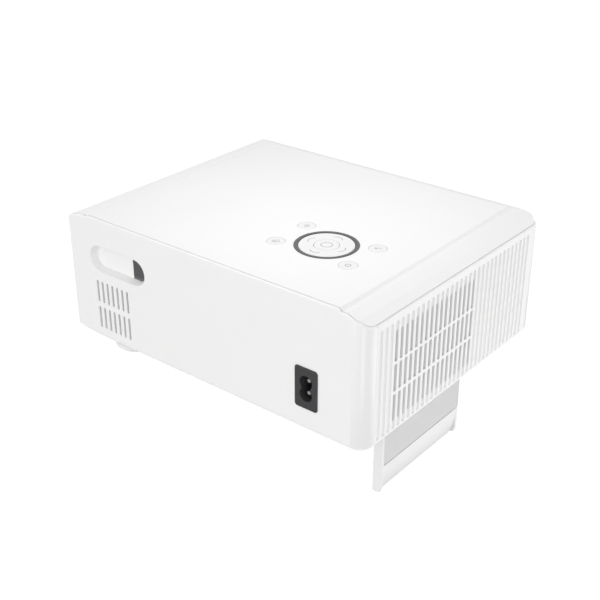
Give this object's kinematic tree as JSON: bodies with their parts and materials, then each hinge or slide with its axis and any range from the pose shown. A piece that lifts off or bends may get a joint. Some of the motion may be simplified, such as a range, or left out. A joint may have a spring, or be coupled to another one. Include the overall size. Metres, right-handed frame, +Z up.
{
  "type": "home projector",
  "caption": "Low white home projector with a ribbed vent side, round key pad on top, mains inlet, slide-out dust filter and focusing lens.",
  "frame": {"origin": "middle of the underside of the case, at the mouth of the tripod socket", "axes": "+Z up, lens looks along -Y, mains inlet faces +Y, ribbed vent side at -X"},
  "size_m": [0.255, 0.2082, 0.1432],
  "materials": {
    "white_shell": "fine satin moulded white plastic",
    "white_grille": "satin moulded white plastic",
    "key_white": "satin white key cap",
    "ring_dark": "gloss dark grey",
    "window_dark": "gloss smoked infrared window",
    "inlet_black": "moulded black",
    "black_plastic": "moulded black",
    "rubber_foot": "pale grey rubber",
    "filter_white": "moulded white",
    "filter_cloth": "fine woven dust mesh",
    "bare_aluminium": "extruded",
    "bright_steel": "plated",
    "pin_metal": "nickel plated",
    "insert_brass": "turned",
    "board_green": "solder mask",
    "clear_glass": "polished",
    "panel_glass": "polished",
    "mirror_silver": "front surface",
    "led_yellow": "phosphor",
    "cone_paper": "pressed paper",
    "silicone_pad": "silicone"
  },
  "bodies": {
    "root": {"audio_jacks": "black_plastic", "base_pan": "white_shell", "base_screws": "bright_steel", "capacitors": "black_plastic", "condenser_lens": "clear_glass", "engine_cover": "black_plastic", "engine_housing": "black_plastic", "filter_guide": "white_grille", "fresnel_in": "clear_glass", "fresnel_out": "clear_glass", "front_panel": "white_shell", "hdmi_sockets": "bright_steel", "heat_glass": "clear_glass", "heat_sink": "bare_aluminium", "inlet_housing": "inlet_black", "inlet_pins": "pin_metal", "key_board": "board_green", "key_domes": "silicone_pad", "lcd_panel": "panel_glass", "led_board": "bare_aluminium", "led_emitter": "led_yellow", "lens_bezel": "ring_dark", "lens_tube": "black_plastic", "main_board": "board_green", "main_fan_frame": "black_plastic", "mirror": "mirror_silver", "nav_ring": "ring_dark", "panel_fan_frame": "black_plastic", "port_panel": "white_shell", "power_board": "board_green", "rear_shell": "white_shell", "receiver_board": "board_green", "receiver_recess": "white_shell", "receiver_window": "window_dark", "round_foot": "rubber_foot", "side_grille": "white_grille", "small_feet": "rubber_foot", "speaker_cone": "cone_paper", "speaker_frame": "black_plastic", "top_cover": "white_shell", "transformer": "black_plastic", "tripod_insert": "insert_brass", "usb_sockets": "bright_steel"},
    "filter": {"filter_frame": "filter_white", "filter_mesh": "filter_cloth"},
    "power_key": {"power_key": "key_white"},
    "source_key": {"source_key": "key_white"},
    "back_key": {"back_key": "key_white"},
    "menu_key": {"menu_key": "key_white"},
    "ok_key": {"ok_key": "key_white"},
    "pad_carrier": {"nav_carrier": "silicone_pad"},
    "nav_pad": {"nav_pad": "key_white"},
    "main_impeller": {"main_fan_impeller": "black_plastic"},
    "panel_impeller": {"panel_fan_impeller": "black_plastic"},
    "focus_ring": {"focus_ring": "black_plastic"},
    "lens": {"lens_barrel": "black_plastic", "front_element": "clear_glass", "rear_element": "clear_glass"},
    "foot_stud": {"foot_stud": "bright_steel"},
    "foot_disc": {"foot_disc": "rubber_foot"}
  },
  "joints": [
    {"name": "filter_slide", "type": "slide", "parent": "root", "child": "filter", "axis": [0, 0, -1], "range_m": [-0.0512, 0.018]},
    {"name": "power_key_press", "type": "slide", "parent": "root", "child": "power_key", "axis": [0, 0, -1], "range_m": [0, 0.0006], "stiffness_N_per_m": 600, "springref_m": -0.001},
    {"name": "source_key_press", "type": "slide", "parent": "root", "child": "source_key", "axis": [0, 0, -1], "range_m": [0, 0.0006], "stiffness_N_per_m": 600, "springref_m": -0.001},
    {"name": "back_key_press", "type": "slide", "parent": "root", "child": "back_key", "axis": [0, 0, -1], "range_m": [0, 0.0006], "stiffness_N_per_m": 600, "springref_m": -0.001},
    {"name": "menu_key_press", "type": "slide", "parent": "root", "child": "menu_key", "axis": [0, 0, -1], "range_m": [0, 0.0006], "stiffness_N_per_m": 600, "springref_m": -0.001},
    {"name": "ok_key_press", "type": "slide", "parent": "root", "child": "ok_key", "axis": [0, 0, -1], "range_m": [0, 0.0006], "stiffness_N_per_m": 600, "springref_m": -0.001},
    {"name": "pad_rock_front", "type": "hinge", "parent": "root", "child": "pad_carrier", "pos_m": [-0.0484, 0.0379, 0.087], "axis": [1, 0, 0], "range_deg": [-1.5, 1.5], "stiffness_Nm_per_rad": 0.4},
    {"name": "pad_rock_side", "type": "hinge", "parent": "pad_carrier", "child": "nav_pad", "pos_m": [-0.0484, 0.0379, 0.087], "axis": [0, 1, 0], "range_deg": [-1.5, 1.5], "stiffness_Nm_per_rad": 0.4},
    {"name": "main_fan_spin", "type": "hinge", "parent": "root", "child": "main_impeller", "pos_m": [-0.1, 0.0285, 0.039], "axis": [1, 0, 0], "continuous": true},
    {"name": "panel_fan_spin", "type": "hinge", "parent": "root", "child": "panel_impeller", "pos_m": [0.01, -0.03, 0.039], "axis": [0, 1, 0], "continuous": true},
    {"name": "focus_turn", "type": "hinge", "parent": "root", "child": "focus_ring", "pos_m": [0.07, -0.085, 0.039], "axis": [0, -1, 0], "range_deg": [0, 120]},
    {"name": "lens_slide", "type": "slide", "parent": "root", "child": "lens", "axis": [0, -1, 0], "range_m": [0, 0.006]},
    {"name": "foot_slide", "type": "slide", "parent": "root", "child": "foot_stud", "axis": [0, 0, -1], "range_m": [0, 0.01]},
    {"name": "foot_turn", "type": "hinge", "parent": "foot_stud", "child": "foot_disc", "pos_m": [0, -0.082, -0.004], "axis": [0, 0, 1], "range_deg": [0, 2880]}
  ],
  "couplings": [
    {"joint": "lens_slide", "follows": "focus_turn", "m_per_rad": 0.00286},
    {"joint": "foot_turn", "follows": "foot_slide", "rad_per_m": 5026.5}
  ]
}
